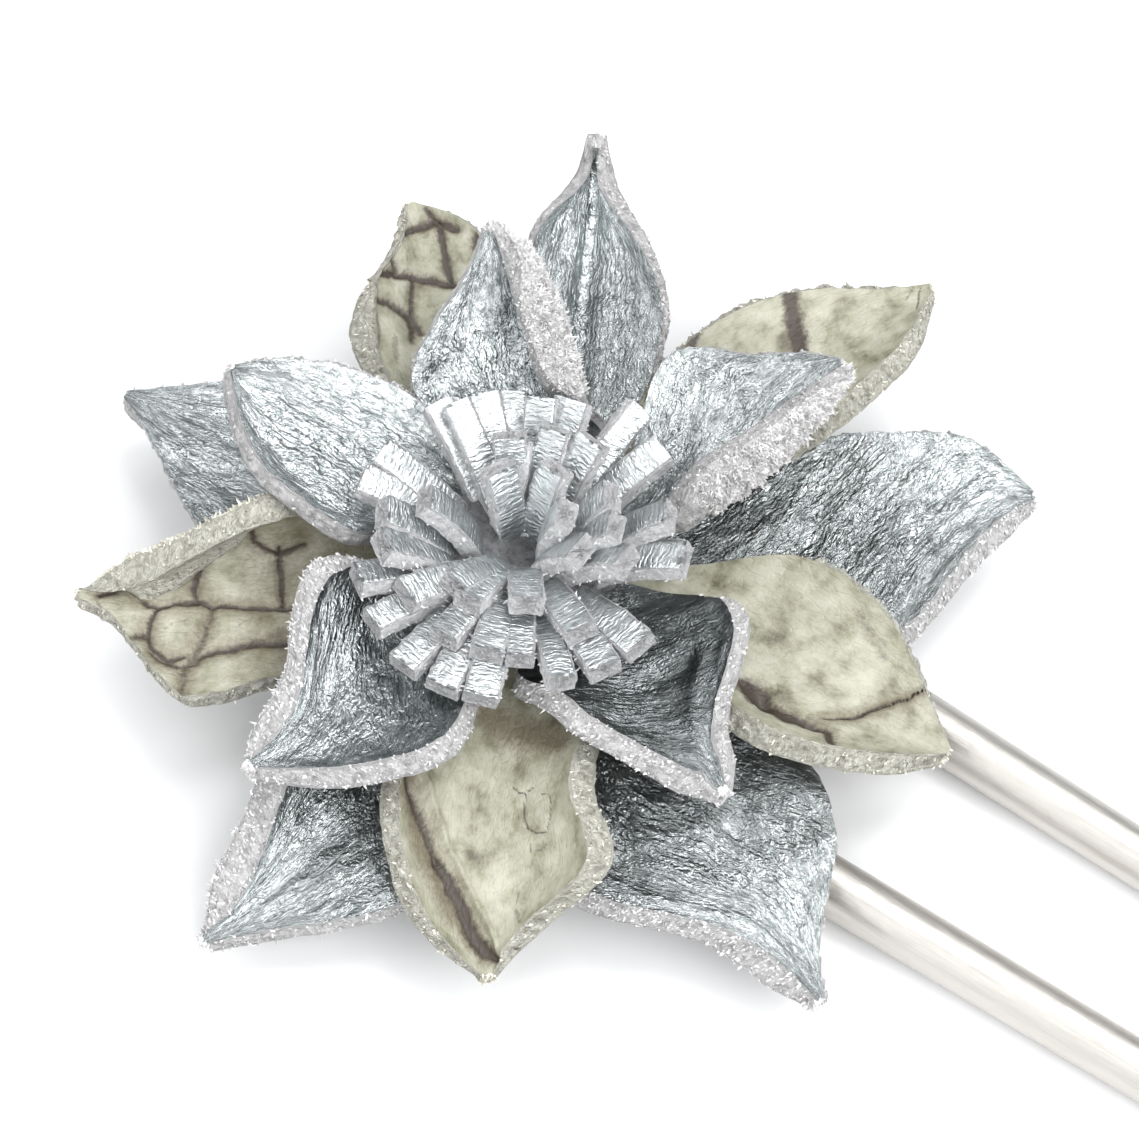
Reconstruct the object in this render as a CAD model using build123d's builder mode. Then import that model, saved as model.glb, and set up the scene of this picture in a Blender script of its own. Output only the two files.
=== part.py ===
from build123d import *
from collections import namedtuple
from math import cos, radians, sin, tan
import os

os.makedirs("parts", exist_ok=True)

# Driving dimensions, millimetres and degrees

# Hair fork: one bent rod that lies flat on the floor, prongs towards +X
ROD_DIAMETER = 4.2
ROD_TIP_DIAMETER = 2.6
FORK_LENGTH = 125.0
PRONG_SPACING = 14.6
PRONG_TOE_IN = 1.35

# Backing disc on the bend of the fork
DISC_DIAMETER = 18.0
DISC_THICKNESS = 1.15
DISC_EDGE_RADIUS = 0.3
DISC_GAP = 0.05

# Leather petals: the table below multiplies these lengths and this half width
LEATHER = 1.5
LAYER_GAP = 0.25
BOTTOM_LENGTH = 28.0
MIDDLE_LENGTH = 25.0
TOP_LENGTH = 18.0
HALF_WIDTH = 7.0
ROOT_RADIUS = 5.0
ROOT_HALF_WIDTH = 2.3
TIP_HALF_WIDTH = 0.45

# Fringe: a rolled band whose cut strips bend outwards, on a stem through the petal roots
STEM_DIAMETER = 8.4
CORE_DIAMETER = 10.8
CORE_OFFSET_X = -0.6
CORE_OFFSET_Y = -3.0
CORE_HEIGHT = 1.8
CORE_GAP = 1.1
HOLE_DIAMETER = 1.8
HOLE_DEPTH = 1.2
STRIP_LENGTH = 7.0
STRIP_WIDTH = 1.6
STRIP_THICKNESS = 1.4

# Heights that follow from the sizes above
disc_bottom = ROD_DIAMETER + DISC_GAP
disc_top = disc_bottom + DISC_THICKNESS
bottom_height = disc_top + LAYER_GAP + LEATHER / 2
layer = LEATHER + LAYER_GAP
ring_height = {
    "bottom": bottom_height,
    "middle": bottom_height + layer,
    "top": bottom_height + 2 * layer,
}
ring_length = {"bottom": BOTTOM_LENGTH, "middle": MIDDLE_LENGTH, "top": TOP_LENGTH}

# One row for each petal. azimuth: the way it points. root_turn: turn of its root about the flower's
# axis. bow: sideways bend of its spine. length: share of the ring's length. rise, arch and kick:
# slope of the spine, its change over the length and the bend of the last stretch. roll: turn about
# the spine. curl_left and curl_right: bend of each half. tip_curl: more bend at the tip. crease:
# angle of each half at the spine. open_at: share of the length from which roll and curl are full.
# lift: share of the leather that the root lies above its layer. left and right: half widths, as
# shares of HALF_WIDTH, at the shares of the length in WIDTH_AT.
Petal = namedtuple(
    "Petal",
    "name ring azimuth root_turn bow length rise arch kick roll "
    "curl_left curl_right tip_curl crease open_at lift left right",
)
WIDTH_AT = (0.15, 0.35, 0.55, 0.75, 0.90)
PETALS = [
    Petal("low_silver_petal_1", "bottom", 45.2, 0, 0, 0.975, 0, 0, 0, 4, 15, 0, 30, 0, 0.55, 0,
          (0.50, 0.86, 0.93, 0.84, 0.60), (0.50, 1.00, 1.26, 0.74, 0.26)),
    Petal("low_silver_petal_2", "bottom", 120, 0, 0, 0.98, 3, 14, 60, 0, -6, -10, 90, 22, 0.58, 0.1,
          (0.44, 0.60, 0.70, 0.65, 0.21), (0.50, 0.74, 0.86, 0.56, 0.16)),
    Petal("low_silver_petal_3", "bottom", 189.3, 0, 0, 0.99, 1, -5, 0, 0, 10, 15, 0, 0, 0.55, 0,
          (0.57, 1.00, 1.23, 0.80, 0.33), (0.50, 0.80, 0.89, 0.60, 0.27)),
    Petal("low_silver_petal_4", "bottom", 263.5, 0, 12, 1.025, 0, -12, 0, 0, 0, 78, 15, 0, 0.60, 0,
          (0.50, 0.86, 1.11, 0.76, 0.31), (0.46, 0.66, 0.89, 0.54, 0.23)),
    Petal("low_silver_petal_5", "bottom", 334, 0, 0, 1.02, 0, -9, 0, 0, 0, 0, 30, 0, 0.55, 0,
          (0.50, 0.86, 1.04, 0.77, 0.26), (0.50, 1.09, 1.37, 0.57, 0.21)),
    Petal("python_petal_1", "middle", 7, 0, 0, 0.93, 4, -18, 0, 0, 45, 45, 0, 0, 0.55, 0,
          (0.50, 0.94, 1.03, 0.76, 0.36), (0.50, 0.77, 1.03, 0.79, 0.43)),
    Petal("python_petal_2", "middle", 72.4, 0, 20, 1.10, 6, 0, 0, 0, 30, 40, 0, 0, 0.55, 0,
          (0.43, 0.66, 0.69, 0.47, 0.19), (0.50, 0.83, 1.03, 0.89, 0.57)),
    Petal("python_petal_3", "middle", 146.4, 0, 0, 0.93, 6, 4, 0, 0, 30, 20, 0, 0, 0.55, 0.1,
          (0.50, 0.79, 1.03, 0.77, 0.23), (0.37, 0.38, 0.37, 0.53, 0.43)),
    Petal("python_petal_4", "middle", 220.8, 0, 12, 1.05, 3, -3, 0, 0, 5, 125, 0, 0, 0.60, 0,
          (0.50, 0.86, 0.91, 0.97, 0.26), (0.50, 0.83, 1.17, 0.70, 0.34)),
    Petal("python_petal_5", "middle", 296.4, 0, -12, 0.955, 4, -20, 0, 0, 70, 60, -30, 0, 0.65, 0,
          (0.50, 0.77, 0.97, 1.09, 0.37), (0.50, 0.74, 1.02, 0.84, 0.49)),
    Petal("top_silver_petal_1", "top", 61.3, 0, 0, 0.965, 21, 8, 0, 0, 30, 125, 0, 0, 0.20, 0,
          (0.50, 0.94, 1.04, 0.60, 0.36), (0.80, 1.20, 1.17, 0.76, 0.36)),
    Petal("top_silver_petal_2", "top", 147, -31, -8, 0.97, 26, 20, 0, -22, 18, 150, 0, 6, 0.42, 0.05,
          (0.50, 0.98, 1.20, 0.80, 0.32), (0.46, 0.76, 0.92, 0.80, 0.36)),
    Petal("top_silver_petal_3", "top", 191.5, 0, 0, 1.06, 14, 8, 0, 0, 30, 15, 0, 0, 0.45, 0.4,
          (0.51, 1.00, 1.04, 0.89, 0.51), (0.43, 0.64, 0.67, 0.53, 0.31)),
    Petal("top_silver_petal_4", "top", 257.7, 0, 0, 1.155, 10, -6, 0, 0, 35, 70, 0, 0, 0.50, 0.1,
          (0.46, 0.80, 1.17, 0.94, 0.51), (0.50, 0.97, 1.03, 0.40, 0.17)),
    Petal("top_silver_petal_5", "top", 333.3, 0, 0, 0.92, 7, 0, 0, 0, 50, 35, 0, 0, 0.45, 0.2,
          (0.63, 1.03, 0.91, 0.36, 0.20), (0.97, 0.97, 0.80, 0.49, 0.26)),
]
KICK_FROM = 0.7
LEAST_ANGLE = 1.0
EASE_STEP = 0.95
SPINE_STEPS = 60

# One row for each turn of the fringe's band. radius: share of the core's radius where its strips
# start. start and step: azimuth of the first strip and the angle to the next. length: share of
# STRIP_LENGTH. bend: how far each strip turns outwards over its length. leans: angle from upright
# at which each strip leaves the core.
Turn = namedtuple("Turn", "radius start step length bend leans")
TURNS = [
    Turn(0.85, 30, 20, 1.00, 30,
         (36, 30, 36, 38, 23, 22, 42, 46, 46, 44, 43, 52, 54, 54, 52, 50, 46)),
    Turn(0.56, 25, 30, 1.00, 36, (34, 26, 22, 22, 26, 30, 34, 38, 42, 42, 38, 36)),
    Turn(0.34, 12, 60, 0.92, 38, (22, 10, 4, 10, 24, 24)),
]
# Strips are longer on one side, and their uneven cutting repeats round each turn
LONG_SIDE = 265.0
LONG_SHARE = 0.10
LENGTH_CHANGE = (0.0, 0.04, -0.05, 0.03, -0.06)


def opening(petal, share):
    """How far the petal has opened at a share of its length, from 0 at the root to 1."""
    flat_to = WIDTH_AT[0] / 3
    t = min(1.0, max(0.0, (share - flat_to) / (petal.open_at - flat_to)))
    return t * t * (3 - 2 * t)


def spine_direction(petal, share):
    """Unit vector along the spine and the level unit vector to its left."""
    kick = petal.kick * max(0.0, (share - KICK_FROM) / (1 - KICK_FROM)) ** 2
    heading = radians(petal.azimuth + petal.bow * (1 - 2 * share))
    slope = radians(petal.rise + petal.arch * share + kick)
    along = Vector(cos(heading) * cos(slope), sin(heading) * cos(slope), sin(slope))
    return along, Vector(-sin(heading), cos(heading), 0)


def spine_point(petal, share):
    """Point of the spine, found by short steps along it from the root."""
    root = radians(petal.azimuth + petal.root_turn)
    height = ring_height[petal.ring] + petal.lift * LEATHER
    point = Vector(ROOT_RADIUS * cos(root), ROOT_RADIUS * sin(root), height)
    step = petal.length * ring_length[petal.ring] * share / SPINE_STEPS
    for i in range(SPINE_STEPS):
        along, level = spine_direction(petal, share * (i + 0.5) / SPINE_STEPS)
        point += along * step
    return point


def cross_plane(petal, share):
    """Plane across the spine: x points to the petal's left and y out of its upper face."""
    along, level = spine_direction(petal, share)
    roll = radians(petal.roll * opening(petal, share))
    left = level * cos(roll) + along.cross(level) * sin(roll)
    return Plane(origin=spine_point(petal, share), x_dir=left, z_dir=along)


def edge_room(width, curl, crease):
    """Distance of the upper edge of one half from the plane through the spine."""
    angle = crease + curl
    return width / curl * (sin(angle) - sin(crease)) - LEATHER / 2 * sin(angle)


def section_angles(petal, share, widths):
    """Crease and curl of both halves in radians, eased where the petal is too narrow for them."""
    opened = opening(petal, share)
    near_tip = petal.tip_curl * max(0.0, 2 * share - 1)
    crease = max(LEAST_ANGLE, petal.crease * opened)
    curls = [petal.curl_left * opened + near_tip, petal.curl_right * opened + near_tip]
    curls = [radians(curl if abs(curl) > LEAST_ANGLE else LEAST_ANGLE) for curl in curls]
    crease = radians(crease)
    while min(edge_room(w, curl, crease) for w, curl in zip(widths, curls)) < TIP_HALF_WIDTH / 2:
        crease *= EASE_STEP
        curls = [curl * EASE_STEP for curl in curls]
    return crease, curls


def half_arcs(width, curl, crease, side):
    """Three points of the upper and of the lower arc of one half, side 1 for left, -1 for right."""
    upper = [(0, LEATHER / 2 / cos(crease))]
    lower = [(0, -LEATHER / 2 / cos(crease))]
    for angle in (crease + curl / 2, crease + curl):
        x = width / curl * (sin(angle) - sin(crease))
        y = width / curl * (cos(crease) - cos(angle))
        across = LEATHER / 2 * sin(angle)
        up = LEATHER / 2 * cos(angle)
        upper.append((side * (x - across), y + up))
        lower.append((side * (x + across), y - up))
    return upper, lower


def section_arcs(petal, share, widths):
    """Arcs of one cross-section of a petal: two curved halves that meet at the spine."""
    crease, curls = section_angles(petal, share, widths)
    return half_arcs(widths[0], curls[0], crease, 1) + half_arcs(widths[1], curls[1], crease, -1)


def strip_arcs(radius, lean, end_lean, length):
    """Outer and inner arc of the side view of one strip that bends outwards from this radius."""
    start, end = radians(lean), radians(end_lean)
    bend = length / (end - start)
    centre = Vector(radius + bend * cos(start), -bend * sin(start))
    outer, inner = [], []
    for angle in (start, (start + end) / 2, end):
        away = Vector(-cos(angle), sin(angle))
        outer.append(centre + away * (bend + STRIP_THICKNESS / 2))
        inner.append(centre + away * (bend - STRIP_THICKNESS / 2))
    return outer, inner


# Hair fork
bend_radius = PRONG_SPACING / 2
rod_radius = ROD_DIAMETER / 2
tip_radius = ROD_TIP_DIAMETER / 2
toe_in = radians(PRONG_TOE_IN)
bend_end_x = bend_radius * sin(toe_in)
bend_end_y = bend_radius * cos(toe_in)
tip_x = FORK_LENGTH - bend_radius - rod_radius - tip_radius
tip_y = bend_end_y - (tip_x - bend_end_x) * tan(toe_in)
bend_start = Plane(
    origin=(0, 0, 0), x_dir=(sin(toe_in), cos(toe_in), 0), z_dir=(cos(toe_in), -sin(toe_in), 0)
)
with BuildPart() as hair_fork:
    with BuildSketch(bend_start):
        with Locations((bend_radius, rod_radius)):
            Circle(rod_radius)
    revolve(axis=Axis.Z, revolution_arc=180 + 2 * PRONG_TOE_IN)
    for side in (1, -1):
        heading = (cos(toe_in), -side * sin(toe_in), 0)
        with BuildSketch(Plane(origin=(bend_end_x, side * bend_end_y, rod_radius), z_dir=heading)):
            Circle(rod_radius)
        with BuildSketch(Plane(origin=(tip_x, side * tip_y, tip_radius), z_dir=heading)):
            Circle(tip_radius)
        loft()
        with Locations((tip_x, side * tip_y, tip_radius)):
            Sphere(tip_radius)

# Backing disc
with BuildPart() as backing_disc:
    with BuildSketch(Plane.XY.offset(disc_bottom)):
        Circle(DISC_DIAMETER / 2)
    extrude(amount=DISC_THICKNESS)
    fillet(backing_disc.edges(), DISC_EDGE_RADIUS)

# Petals
petals = {}
for row in PETALS:
    lefts = [ROOT_HALF_WIDTH] + [HALF_WIDTH * width for width in row.left] + [TIP_HALF_WIDTH]
    rights = [ROOT_HALF_WIDTH] + [HALF_WIDTH * width for width in row.right] + [TIP_HALF_WIDTH]
    with BuildPart() as petal:
        for share, *widths in zip((0, *WIDTH_AT, 1), lefts, rights):
            upper_left, lower_left, upper_right, lower_right = section_arcs(row, share, widths)
            with BuildSketch(cross_plane(row, share)):
                with BuildLine():
                    ThreePointArc(*upper_left)
                    Line(upper_left[2], lower_left[2])
                    ThreePointArc(*reversed(lower_left))
                    ThreePointArc(*lower_right)
                    Line(lower_right[2], upper_right[2])
                    ThreePointArc(*reversed(upper_right))
                make_face()
        loft()
    petals[row.name] = petal

# Fringe
core_radius = CORE_DIAMETER / 2
core_bottom = ring_height["top"] + LEATHER / 2 + CORE_GAP
core_top = core_bottom + CORE_HEIGHT
strip_start = core_top - CORE_HEIGHT / 2
with BuildPart() as stamen_fringe:
    with BuildSketch(Plane.XY.offset(disc_top)):
        Circle(STEM_DIAMETER / 2)
    extrude(amount=core_top - disc_top)
    with BuildSketch(Plane.XY.offset(core_bottom)):
        with Locations((CORE_OFFSET_X, CORE_OFFSET_Y)):
            Circle(core_radius)
    extrude(amount=CORE_HEIGHT)
    for turn in TURNS:
        for i, lean in enumerate(turn.leans):
            away = radians(turn.start + turn.step * i)
            uneven = LENGTH_CHANGE[i % len(LENGTH_CHANGE)]
            longer = LONG_SHARE * cos(away - radians(LONG_SIDE))
            length = STRIP_LENGTH * turn.length * (1 + longer + uneven)
            side_view = Plane(
                origin=(CORE_OFFSET_X, CORE_OFFSET_Y, strip_start),
                x_dir=(cos(away), sin(away), 0),
                z_dir=(sin(away), -cos(away), 0),
            )
            outer, inner = strip_arcs(turn.radius * core_radius, lean, lean + turn.bend, length)
            with BuildSketch(side_view):
                with BuildLine():
                    ThreePointArc(*outer)
                    Line(outer[2], inner[2])
                    ThreePointArc(*reversed(inner))
                    Line(inner[0], outer[0])
                make_face()
            extrude(amount=STRIP_WIDTH / 2, both=True)
    with BuildSketch(Plane.XY.offset(core_top)):
        with Locations((CORE_OFFSET_X, CORE_OFFSET_Y)):
            Circle(HOLE_DIAMETER / 2)
    extrude(amount=-HOLE_DEPTH, mode=Mode.SUBTRACT)

# The origin is on the floor, in the middle of the whole piece seen from above
pieces = {"hair_fork": hair_fork, "backing_disc": backing_disc, **petals, "stamen_fringe": stamen_fringe}
boxes = [piece.part.bounding_box() for piece in pieces.values()]
middle = Vector(
    (min(box.min.X for box in boxes) + max(box.max.X for box in boxes)) / 2,
    (min(box.min.Y for box in boxes) + max(box.max.Y for box in boxes)) / 2,
    0,
)
for name, piece in pieces.items():
    piece.part.position -= middle
    piece.part.label = name
    export_step(piece.part, f"parts/{name}.step")
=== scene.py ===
import math
from collections import namedtuple

import bpy
import numpy as np
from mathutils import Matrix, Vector


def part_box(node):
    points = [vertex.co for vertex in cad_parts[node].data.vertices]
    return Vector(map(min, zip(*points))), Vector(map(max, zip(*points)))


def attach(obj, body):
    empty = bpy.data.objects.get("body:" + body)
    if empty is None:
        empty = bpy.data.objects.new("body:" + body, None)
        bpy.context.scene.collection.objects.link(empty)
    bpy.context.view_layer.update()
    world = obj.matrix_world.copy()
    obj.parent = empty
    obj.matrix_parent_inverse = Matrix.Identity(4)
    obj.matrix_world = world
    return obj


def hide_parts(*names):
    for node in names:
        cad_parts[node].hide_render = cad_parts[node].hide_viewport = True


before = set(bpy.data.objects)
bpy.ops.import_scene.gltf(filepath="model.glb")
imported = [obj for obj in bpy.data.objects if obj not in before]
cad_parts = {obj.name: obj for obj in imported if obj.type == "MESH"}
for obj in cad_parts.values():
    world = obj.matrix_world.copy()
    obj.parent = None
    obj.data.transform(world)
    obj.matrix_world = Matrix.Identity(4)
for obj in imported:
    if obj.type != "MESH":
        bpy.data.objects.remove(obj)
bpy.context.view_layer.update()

MM = 0.001

# The flower's axis stands in the middle of the backing disc. Heights are above the floor.
disc_low, disc_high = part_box("backing_disc")
FLOWER_X = (disc_low.x + disc_high.x) / 2 / MM
FLOWER_Y = (disc_low.y + disc_high.y) / 2 / MM
DISC_TOP = disc_high.z / MM

# Petal sizes, millimetres, as in the part's source
LEATHER = 1.5
LAYER_GAP = 0.25
HALF_WIDTH = 7.0
ROOT_RADIUS = 5.0
ROOT_HALF_WIDTH = 2.3
TIP_HALF_WIDTH = 0.45
RING_LENGTH = {"low_silver_petal": 28.0, "python_petal": 25.0, "top_silver_petal": 18.0}
LAYER = LEATHER + LAYER_GAP
RING_HEIGHT = {ring: DISC_TOP + LAYER_GAP + LEATHER / 2 + i * LAYER for i, ring in enumerate(RING_LENGTH)}
WIDTH_AT = (0.15, 0.35, 0.55, 0.75, 0.9)
KICK_FROM = 0.7
LEAST_ANGLE = 1.0
EASE_STEP = 0.95
SPINE_STEPS = 60

# Rows of petals: angles in degrees, the length as a share of the ring's, open_at and lift in per cent,
# and the half widths at WIDTH_AT, left and right, in per cent of HALF_WIDTH
Petal = namedtuple("Petal", "name ring azimuth root_turn bow length rise arch kick roll curl_left "
                            "curl_right tip_curl crease open_at lift left right")
PETAL_ROWS = {"low_silver_petal": [
    (45.2, 0, 0, 0.975, 0, 0, 0, 4, 15, 0, 30, 0, 55, 0, (50, 86, 93, 84, 60), (50, 100, 126, 74, 26)),
    (120, 0, 0, 0.98, 3, 14, 60, 0, -6, -10, 90, 22, 58, 10, (44, 60, 70, 65, 21), (50, 74, 86, 56, 16)),
    (189.3, 0, 0, 0.99, 1, -5, 0, 0, 10, 15, 0, 0, 55, 0, (57, 100, 123, 80, 33), (50, 80, 89, 60, 27)),
    (263.5, 0, 12, 1.025, 0, -12, 0, 0, 0, 78, 15, 0, 60, 0, (50, 86, 111, 76, 31), (46, 66, 89, 54, 23)),
    (334, 0, 0, 1.02, 0, -9, 0, 0, 0, 0, 30, 0, 55, 0, (50, 86, 104, 77, 26), (50, 109, 137, 57, 21)),
], "python_petal": [
    (7, 0, 0, 0.93, 4, -18, 0, 0, 45, 45, 0, 0, 55, 0, (50, 94, 103, 76, 36), (50, 77, 103, 79, 43)),
    (72.4, 0, 20, 1.1, 6, 0, 0, 0, 30, 40, 0, 0, 55, 0, (43, 66, 69, 47, 19), (50, 83, 103, 89, 57)),
    (146.4, 0, 0, 0.93, 6, 4, 0, 0, 30, 20, 0, 0, 55, 10, (50, 79, 103, 77, 23), (37, 38, 37, 53, 43)),
    (220.8, 0, 12, 1.05, 3, -3, 0, 0, 5, 125, 0, 0, 60, 0, (50, 86, 91, 97, 26), (50, 83, 117, 70, 34)),
    (296.4, 0, -12, 0.955, 4, -20, 0, 0, 70, 60, -30, 0, 65, 0, (50, 77, 97, 109, 37), (50, 74, 102, 84, 49)),
], "top_silver_petal": [
    (61.3, 0, 0, 0.965, 21, 8, 0, 0, 30, 125, 0, 0, 20, 0, (50, 94, 104, 60, 36), (80, 120, 117, 76, 36)),
    (147, -31, -8, 0.97, 26, 20, 0, -22, 18, 150, 0, 6, 42, 5, (50, 98, 120, 80, 32), (46, 76, 92, 80, 36)),
    (191.5, 0, 0, 1.06, 14, 8, 0, 0, 30, 15, 0, 0, 45, 40, (51, 100, 104, 89, 51), (43, 64, 67, 53, 31)),
    (257.7, 0, 0, 1.155, 10, -6, 0, 0, 35, 70, 0, 0, 50, 10, (46, 80, 117, 94, 51), (50, 97, 103, 40, 17)),
    (333.3, 0, 0, 0.92, 7, 0, 0, 0, 50, 35, 0, 0, 45, 20, (63, 103, 91, 36, 20), (97, 97, 80, 49, 26)),
]}
PETALS_PER_RING = 5
PETALS = [Petal(f"{ring}_{number}", ring, *row)
          for ring, rows in PETAL_ROWS.items() for number, row in enumerate(rows, 1)]

# Fringe sizes, millimetres, as in the part's source
CORE_RADIUS = 5.4
CORE_X, CORE_Y = -0.6, -3.0
CORE_HEIGHT = 1.8
CORE_GAP = 1.1
HOLE_RADIUS = 0.9
STEM_RADIUS = 4.2
STRIP_WIDTH = 2.1
STRIP_THICKNESS = 1.35
# Strips that are twisted further than the rest: azimuth and turn, degrees
TWISTED = {83.5: 35, 123.8: 80}
# A turn of the rolled band: its radius as a share of the core's, how far its strips bend, degrees, and
# each strip's azimuth and lean, degrees, and its length
TURNS = [
    (0.85, 30, (
        (19.5, 40.8, 7.4), (32.5, 26.3, 7.2), (65.3, 40, 7.3), (83.5, 44.4, 7.9), (103.8, 31.4, 6.6),
        (116.5, 26.5, 6.5), (128.7, 54.8, 6.5), (139.8, 40, 6.6), (157, 40.7, 7.1), (186.5, 38.8, 7.2),
        (198.5, 41, 7.4), (217.5, 20, 7.2), (232.2, 24.1, 7.2), (236.6, 45, 7.5), (251.3, 51.3, 7.6),
        (267, 58.7, 7.7), (280.7, 59.4, 7.7), (292.9, 58.8, 7.7), (317.9, 50.2, 7.5), (332.3, 51.3, 7.5),
        (345.8, 49.7, 7.5))),
    (0.56, 34, (
        (5.9, 23.6, 7.0), (19.5, 10, 6.9), (40.6, 6.4, 6.8), (83.8, 19, 6.7), (104.7, 12.5, 6.6),
        (134.1, 3.3, 6.5), (152.2, 36.2, 8.0), (211.4, 10.2, 6.8), (251.4, 39.6, 7.2), (274.2, 45.7, 7.2),
        (291.8, 46.2, 7.2), (304.7, 47.6, 7.2), (330.2, 38.9, 7.1))),
    (0.34, 36, (
        (21.9, -8.1, 6.2), (88.6, 0, 6.0), (123.8, 16.5, 6.3), (152.6, -2.5, 5.9), (263.5, 29.5, 6.3),
        (275.4, 33.3, 6.4), (308.4, 27.5, 6.3), (356.6, 11.2, 6.2))),
]

# Mesh spacing, millimetres, and the rows of a cut edge
SILVER_GRID = 0.25
PYTHON_GRID = 0.16
EDGE_ROWS = 8

# Sides of a petal, seen from its root with the upper face up
LEFT, RIGHT = 1, -1

# How far the lower edge of a petal stands out past the upper one, left and right, millimetres
FLARE_ROWS = {
    "low_silver_petal": [(-0.5, 0.7), (-0.5, 0), (-0.6, 0), (0, 0.9), (-0.6, 0.9)],
    "python_petal": [(-0.3, 0.2), (0, 0.3), (0.3, 0), (0, 0), (0.4, 0.2)],
    "top_silver_petal": [(-0.4, 0), (-0.4, 0), (-0.3, 0.2), (0.2, 0.4), (0, 0.4)],
}

# Lines on upper faces: width and depth in hundredths of a millimetre (a depth below 0 is a raised fold),
# darkness in per cent, and places in per cent of the length and of the half width, left positive
LINES = {"python_petal_1": [
    (22, 30, 100, [(86, 97), (83, 44), (79, 11), (72, -31), (66, -44)]),
    # These three are a pressed hollow whose black is painted shade.
    (180, 55, 100, [(43, -50), (50, -56)]),
    (110, 40, 100, [(50, -56), (57, -61), (64, -60)]),
    (60, 30, 100, [(63, -60), (69, -63), (71, -86)]),
    (110, 0, 40, [(60, 80), (73, 62)]),
    (120, 0, 30, [(70, -75), (86, -60)]),
    (80, 0, 35, [(66, 72), (71, 75)]),
    (90, 0, 25, [(20, 92), (29, 53)]),
    (170, 5, 32, [(43, -100), (55, -75)]),
], "python_petal_2": [
    (115, 12, 95, [(69, 100), (68, 78), (66, 39), (64, 3), (62, -19), (59, -39)]),
    (90, 10, 85, [(46, 100), (43, 92), (39, 72)]),
    (60, 5, 80, [(35, 100), (27, 92)]),
    (15, 2, 60, [(96, 81), (93, -14)]),
    (20, 2, 70, [(98, 64), (94, -67)]),
    (160, 0, 25, [(70, 40), (71, -3)]),
], "python_petal_3": [
    (50, 22, 90, [(91, 100), (92, 31), (92, -36), (90, -61), (87, -72)]),
    (35, 20, 80, [(97, -78), (92, -47)]),
    (45, 22, 90, [(90, -47), (84, -31), (78, -22), (72, -19)]),
    (45, 22, 90, [(79, 100), (79, 75), (77, 39), (74, 11), (71, -19), (69, -45)]),
    (35, 20, 80, [(83, 89), (79, 67)]),
    (40, 20, 80, [(83, -95), (78, -80)]),
    (30, 15, 80, [(76, 36), (71, 39), (66, 42)]),
    (50, 22, 80, [(72, 89), (70, 69), (67, 53), (64, 44), (59, 39)]),
    (40, 15, 80, [(66, 42), (57, 50)]),
    (28, 10, 60, [(67, 81), (61, 81), (54, 94)]),
    (40, 10, 50, [(59, 67), (50, 81)]),
], "python_petal_4": [
    (28, 20, 90, [(89, -40), (83, 12), (80, 12), (76, 5), (71, 3), (67, 7), (60, 10), (53, 15), (47, 17)]),
    (32, 20, 90, [(71, 3), (72, -15), (70, -38)]),
    (28, 20, 90, [(80, 12), (82, 38), (82, 62), (81, 75), (77, 73), (73, 60)]),
    (45, 22, 60, [(67, 7), (68, 25), (69, 43), (71, 60), (73, 80), (73, 100)]),
    (32, 18, 70, [(81, 83), (79, 83), (74, 73), (70, 65)]),
    (45, 22, 80, [(70, 60), (66, 55), (61, 55), (57, 53), (53, 58), (45, 60)]),
    (50, 15, 70, [(86, 98), (82, 60)]),
    (32, 20, 90, [(50, -45), (50, -30), (50, -10), (50, 15)]),
    (32, 20, 90, [(57, -80), (56, -52), (53, -42), (50, -38), (43, -50)]),
    (35, 20, 90, [(95, 0), (92, -22), (89, -55)]),
    (25, 5, 50, [(95, 65), (94, 100)]),
    (14, 4, 40, [(79, 45), (76, 30), (73, 23)]),
    (14, 4, 40, [(66, 35), (61, 33), (58, 25)]),
], "python_petal_5": [
    # These three are the fold's groove: their dark brown is painted shade.
    (50, 25, 80, [(50, -98), (56, -87), (61, -74), (66, -63), (72, -55)]),
    (85, 30, 100, [(72, -55), (76, -45), (82, -34), (90, -24), (94, -3), (96, 68)]),
    (190, 40, 80, [(46, -96), (57, -86), (66, -74), (75, -60), (87, -40), (95, 0)]),
    (35, -26, 0, [(50, -80), (62, -52), (72, -34), (80, -16), (88, 10), (93, 40)]),
    (16, 6, 70, [(50, 18), (52, 26), (51, 39), (50, 45)]),
    (16, 6, 70, [(52, 34), (58, 32), (62, 34), (63, 42), (63, 53), (59, 61), (53, 66), (52, 50)]),
    (16, 5, 60, [(64, 37), (68, 37), (68, 45), (66, 53)]),
    (50, 0, 55, [(84, 47), (87, 80)]),
    (20, 0, 50, [(79, 37), (82, 39)]),
    # painted shade under the fringe
    (290, 10, 80, [(32, -35), (37, 70)]),
], "top_silver_petal_5": [
    (150, -40, 0, [(50, 55), (63, 39), (80, -3), (93, -90)]),
], "top_silver_petal_3": [
    (100, 35, 0, [(80, 62), (66, 74), (52, 80), (40, 80)]),
], "low_silver_petal_2": [
    (130, 40, 0, [(25, 0), (60, 2), (92, 0)]),
]}

# Where the flesh side is rolled up over the edge: side, then places where the roll ends, in per cent
ROLLED = {
    "python_petal_4": (RIGHT, [(40, -100), (48, -98), (57, -76), (60, -57), (66, -47), (71, -36), (77, -15),
                               (82, 5), (85, 2), (90, -42), (100, -60)]),
    "python_petal_3": (LEFT, [(45, 100), (51, 95), (59, 86), (66, 83), (72, 86), (80, 100)]),
}

# Petals whose leather is raised between the lines, like scales
SCALED = ("python_petal_3", "python_petal_4")

# Painted shade on the foil towards the root, where other petals and the fringe lie over it: how dark, and the
# share of the length where that ends
PAINTED_SHADE_ROWS = {
    "low_silver_petal": [(0.5, 0.9), (0.45, 0.85), (0.25, 0.75), (0.55, 0.85), (0.6, 0.85)],
    "top_silver_petal": [(0.1, 0.6), (0.1, 0.6), (0.1, 0.6), (0.15, 0.7), (0.7, 1)],
}

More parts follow.
